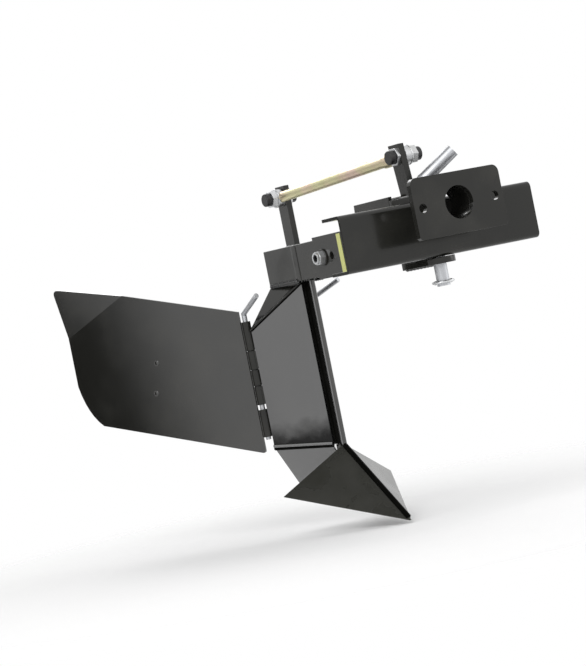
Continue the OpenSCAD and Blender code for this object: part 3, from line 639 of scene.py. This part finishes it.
def post_foot_welds(name, node, body):
    """Beads along both long sides of a post's foot."""
    low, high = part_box(node)
    foot = [p.x for p in points_of(node) if abs(p.z - low.z) < LEVEL_REACH]
    for side, y in (("right", low.y), ("left", high.y)):
        weld_bead(f"{name}_{side}", body, (min(foot), y, low.z), (max(foot), y, low.z))


post_foot_welds("front_post_weld", "front_post", "drawbar")
post_foot_welds("rear_post_weld", "rear_post", "ridger")

for side, outward in SIDES:
    shank_face = outward * shank_high.y
    head_face = outward * head_high.y
    back_end = outward * back_high.y
    root = panel_high.x + BEAD_RADIUS
    # Shank to head, on both faces of the shank
    weld_bead(f"shank_head_weld_{side}", "ridger", (shank_low.x, shank_face, head_low.z),
        (shank_high.x, shank_face, head_low.z))
    # Panel root up the shank, a bead dark with painted shade
    weld_bead(f"panel_root_weld_{side}", "ridger", (root, shank_face, panel_high.z),
        (root, shank_face, panel_low.z), BEAD_RADIUS, SHADE_BLACK)
    # Upper flap along the head's lower edge
    weld_bead(f"top_flap_weld_{side}", "ridger", (head_low.x + HEAVY_BEAD, head_face, head_low.z),
        (shank_high.x - HEAVY_BEAD, head_face, head_low.z), HEAVY_BEAD, WELD_BLACK,
        HEAVY_PITCH, HEAVY_RIPPLE)
    # Cheek to the yoke's back plate
    weld_bead(f"cheek_weld_{side}", "drawbar", (back_low.x, back_end, cheek_low.z),
        (back_low.x, back_end, cheek_high.z))

# Yoke plates to the back plate
for node, level in (("yoke_upper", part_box("yoke_upper")[1].z), ("yoke_lower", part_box("yoke_lower")[0].z)):
    weld_bead(f"{node}_weld", "drawbar", (back_high.x, back_low.y, level),
        (back_high.x, back_high.y, level))


# Folds, ridge and crease

def panel_folds(side, outward):
    """Rounds of the folds above and below a panel: the upper round dark with painted shade and with a crest,
    and a line of painted shade below.
    """
    upper_front, upper_rear, lower_front, lower_rear = outer_corners(side + "_panel")
    crest = outer_face(frame["nodes"][side + "_panel"], outward).normal * CREST_RISE
    round_bar(side + "_upper_fold", "ridger", upper_front, upper_rear, FOLD_RADIUS, SHADE_BLACK)
    round_bar(side + "_fold_crest", "ridger", upper_front + crest, upper_rear + crest,
        CREST_RADIUS, GLOSS_BLACK)
    round_bar(side + "_lower_fold", "ridger", lower_front, lower_rear, FOLD_RADIUS, BRIGHT_BLACK)
    flap_normal = outer_face(frame["nodes"][side + "_low_flap"], outward).normal
    down_flap = flap_normal.cross(lower_rear - lower_front)
    down_flap *= -math.copysign(SHADE_DROP, down_flap.z) / down_flap.length
    round_bar(side + "_fold_shade", "ridger", lower_front + down_flap, lower_rear + down_flap,
        SHADE_RADIUS, SHADE_BLACK)


def share_ridge():
    """The rounded ridge where the halves of the share meet, dark with painted shade."""
    top_front = max(p.x for p in points_of("right_share") if share_high.z - p.z < LEVEL_REACH)
    ridge_top = Vector((top_front, 0.0, share_high.z))
    ridge_line = Vector((share_high.x, 0.0, share_low.z)) - ridge_top
    round_bar("share_ridge", "ridger", ridge_top + ridge_line * RIDGE_START,
        ridge_top + ridge_line * RIDGE_END, RIDGE_RADIUS, SHADE_BLACK)


def head_crease(side, outward):
    """A soft upright crease on the side of the head, over the shank's front edge."""
    head_face = outward * head_high.y
    round_bar("head_crease_" + side, "ridger", (shank_high.x, head_face, head_low.z + CREASE_INSET),
        (shank_high.x, head_face, head_high.z - CREASE_INSET), CREASE_HALF, GLOSS_BLACK,
        CREASE_SIDES, CREASE_DEPTH_SHARE)


for side, outward in SIDES:
    panel_folds(side, outward)
share_ridge()
for side, outward in SIDES:
    head_crease(side, outward)


# Marks, and painted shade in the hinge gaps

def wing_marks(side, outward):
    """Two low domes that show through from the welds behind the wing."""
    wing = bpy.data.objects[side + "_wing_finished"]
    face = outer_face(wing, outward)
    normal = face.normal.copy()
    along = UPWARD.cross(normal) * outward
    hinge_edge = min(wing.data.vertices[i].co.dot(along) for i in face.vertices)
    depth = normal * face.center.dot(normal)
    for number, (reach, level) in enumerate(WING_MARKS, 1):
        spot = along * (hinge_edge + reach) + depth + UPWARD * level
        weld_bead(f"{side}_wing_mark_{number}", side + "_wing_leaf", spot - normal * MARK_HEIGHT,
            spot + normal * MARK_HEIGHT, MARK_RADIUS, WING_BLACK)


def knuckle_spans(node):
    """Lower and upper level of each knuckle of a node, from below."""
    levels = sorted({round(p.z, LEVEL_DIGITS) for p in points_of(node)})
    return list(zip(levels[::2], levels[1::2]))


def shade_ring(name, axis, radius, low, high):
    """A ring of painted shade around a hinge axis, spun from its round section."""
    level = (low + high) / 2
    start_fresh()
    bpy.ops.mesh.primitive_circle_add(vertices=RING_SIDES, radius=(high - low) / 2 * RING_FILL,
        location=(axis[0] + radius, axis[1], level), rotation=(math.pi / 2, 0.0, 0.0))
    ring = bpy.context.object
    ring.name = name
    bpy.ops.object.mode_set(mode="EDIT")
    bpy.ops.mesh.select_all(action="SELECT")
    bpy.ops.mesh.spin(steps=RING_STEPS, angle=math.tau, center=(axis[0], axis[1], level), axis=UPWARD)
    bpy.ops.mesh.select_all(action="SELECT")
    bpy.ops.mesh.remove_doubles(threshold=MERGE_DISTANCE)
    bpy.ops.mesh.normals_make_consistent(inside=False)
    bpy.ops.object.mode_set(mode="OBJECT")
    bpy.ops.object.transform_apply(location=True, rotation=True, scale=True)
    bpy.ops.object.shade_smooth()
    ring.data.materials.append(SHADE_BLACK)
    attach(ring, "ridger")


def shade_rings(side):
    """Rings of painted shade in the narrow gaps of a hinge; the wide gap stays open on the pin."""
    axis = next(joint["pos_m"] for joint in frame["record"]["behaviour"]["joints"]
        if joint["name"] == side + "_wing_hinge")
    bore = min(math.hypot(p.x - axis[0], p.y - axis[1]) for p in points_of(side + "_body_knuckles"))
    spans = sorted(knuckle_spans(side + "_wing_knuckles") + knuckle_spans(side + "_body_knuckles"))
    gaps = [(below[1], above[0]) for below, above in zip(spans, spans[1:])]
    narrow = [(low, high) for low, high in gaps if high - low < NARROW_GAP]
    for number, (low, high) in enumerate(narrow, 1):
        shade_ring(f"{side}_shade_ring_{number}", axis, bore + RING_DEPTH, low, high)


for side, outward in SIDES:
    wing_marks(side, outward)
    shade_rings(side)


# Floor, light and world

def matt_material(name, grey, roughness):
    """A plain grey without reflections, for the stage."""
    material, tree, shader = new_material(name)
    shader.inputs["Base Color"].default_value = (grey, grey, grey, 1.0)
    shader.inputs["Roughness"].default_value = roughness
    shader.inputs["Specular IOR Level"].default_value = 0.0
    return material, tree, shader


def pale_floor():
    """A floor that takes the object's shadow and fades into the white around it."""
    start_fresh()
    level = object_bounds()[0][2] - FLOOR_GAP
    bpy.ops.mesh.primitive_plane_add(size=FLOOR_SIZE, location=(cad_box[0][0], 0.0, level))
    floor = bpy.context.object
    floor.name = "pale_floor"
    bpy.ops.object.transform_apply(location=True, rotation=True, scale=True)
    material, tree, shader = matt_material("pale_floor", FLOOR_GREY, FLOOR_ROUGHNESS)
    place = tree.nodes.new("ShaderNodeTexCoord")
    reach = tree.nodes.new("ShaderNodeVectorMath")
    reach.operation = "DISTANCE"
    reach.inputs[1].default_value = (middle.x, middle.y, level)
    link(tree, place, "Object", reach, 0)
    fade = remap(tree, reach, "Value", FLOOR_NEAR, FLOOR_FAR, 1.0, 0.0)
    link(tree, fade, "Result", shader, "Alpha")
    floor.data.materials.append(material)
    floor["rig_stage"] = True


def soft_lamp(name, place, target, size, watts):
    """A round area lamp that points at a target."""
    data = bpy.data.lights.new(name, "AREA")
    data.shape = "DISK"
    data.size = size
    data.energy = watts
    lamp = bpy.data.objects.new(name, data)
    bpy.context.scene.collection.objects.link(lamp)
    lamp.location = place
    lamp.rotation_euler = (target - place).to_track_quat("-Z", "Y").to_euler()
    lamp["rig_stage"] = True


def dark_flag(name, place, size, rotation=(0.0, 0.0, 0.0), fade_from=None, fade_to=None):
    """A black card that the faces reflect, out of the camera's sight. It may fade along its own X."""
    start_fresh()
    bpy.ops.mesh.primitive_plane_add(size=size, location=place, rotation=rotation)
    card = bpy.context.object
    card.name = name
    material, tree, shader = matt_material("black_card", CARD_GREY, 1.0)
    if fade_from is not None:
        where = tree.nodes.new("ShaderNodeTexCoord")
        parts = tree.nodes.new("ShaderNodeSeparateXYZ")
        link(tree, where, "Object", parts, "Vector")
        fade = remap(tree, parts, "X", fade_from, fade_to, 1.0, 0.0)
        link(tree, fade, "Result", shader, "Alpha")
    card.data.materials.append(material)
    card.visible_camera = False
    card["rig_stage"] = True


def white_background(tree, strength):
    background = tree.nodes.new("ShaderNodeBackground")
    background.inputs["Color"].default_value = (1.0, 1.0, 1.0, 1.0)
    background.inputs["Strength"].default_value = strength
    return background


def white_world():
    """White where it is seen, mirrored or looked through, and a little weaker as light."""
    world = bpy.data.worlds.new("white_studio")
    bpy.context.scene.world = world
    world.use_nodes = True
    tree = world.node_tree
    tree.nodes.clear()
    surface = tree.nodes.new("ShaderNodeOutputWorld")
    path = tree.nodes.new("ShaderNodeLightPath")
    light = white_background(tree, LIGHT_STRENGTH)
    seen = white_background(tree, SEEN_STRENGTH)
    seen_or_mirrored = tree.nodes.new("ShaderNodeMath")
    seen_or_mirrored.operation = "MAXIMUM"
    looked_at = tree.nodes.new("ShaderNodeMath")
    looked_at.operation = "MAXIMUM"
    link(tree, path, "Is Camera Ray", seen_or_mirrored, 0)
    link(tree, path, "Is Glossy Ray", seen_or_mirrored, 1)
    link(tree, seen_or_mirrored, "Value", looked_at, 0)
    link(tree, path, "Is Transmission Ray", looked_at, 1)
    choose = tree.nodes.new("ShaderNodeMixShader")
    link(tree, looked_at, "Value", choose, "Fac")
    link(tree, light, "Background", choose, 1)
    link(tree, seen, "Background", choose, 2)
    link(tree, choose, "Shader", surface, "Surface")


pale_floor()
for name, (from_middle, size, watts) in LAMPS.items():
    soft_lamp(name, middle + Vector(from_middle), middle, size, watts)
dark_flag("overhead_card", middle + OVERHEAD_FROM_MIDDLE, OVERHEAD_SIZE)
dark_flag("side_card", SIDE_CARD_PLACE, SIDE_CARD_SIZE, SIDE_CARD_TURN, SIDE_FADE_START, SIDE_FADE_END)
white_world()


# Camera at the photograph's angle

def photo_camera():
    """The camera of the fit: turned about the object, raised, and rolled about its own view."""
    turn, rise, roll = (math.radians(a) for a in (CAMERA_TURN, CAMERA_RISE, CAMERA_ROLL))
    back = Vector((math.cos(rise) * math.cos(turn), -math.cos(rise) * math.sin(turn), math.sin(rise)))
    level_right = (-back).cross(UPWARD).normalized()
    level_up = level_right.cross(-back)
    right = level_right * math.cos(roll) - level_up * math.sin(roll)
    up = level_right * math.sin(roll) + level_up * math.cos(roll)
    place = FIT_POINT + back * CAMERA_DISTANCE - right * FIT_SHIFT_RIGHT - up * FIT_SHIFT_UP
    data = bpy.data.cameras.new("photo_camera")
    data.sensor_fit = "HORIZONTAL"
    data.sensor_width = SENSOR_WIDTH
    data.lens = FOCAL_PIXELS / PICTURE_WIDTH * SENSOR_WIDTH
    data.dof.use_dof = False
    camera = bpy.data.objects.new("photo_camera", data)
    bpy.context.scene.collection.objects.link(camera)
    camera.matrix_world = Matrix((
        (right.x, up.x, back.x, place.x),
        (right.y, up.y, back.y, place.y),
        (right.z, up.z, back.z, place.z),
        (0.0, 0.0, 0.0, 1.0)))
    bpy.context.scene.camera = camera


photo_camera()
bpy.context.scene.view_settings.view_transform = "Standard"

start_fresh()
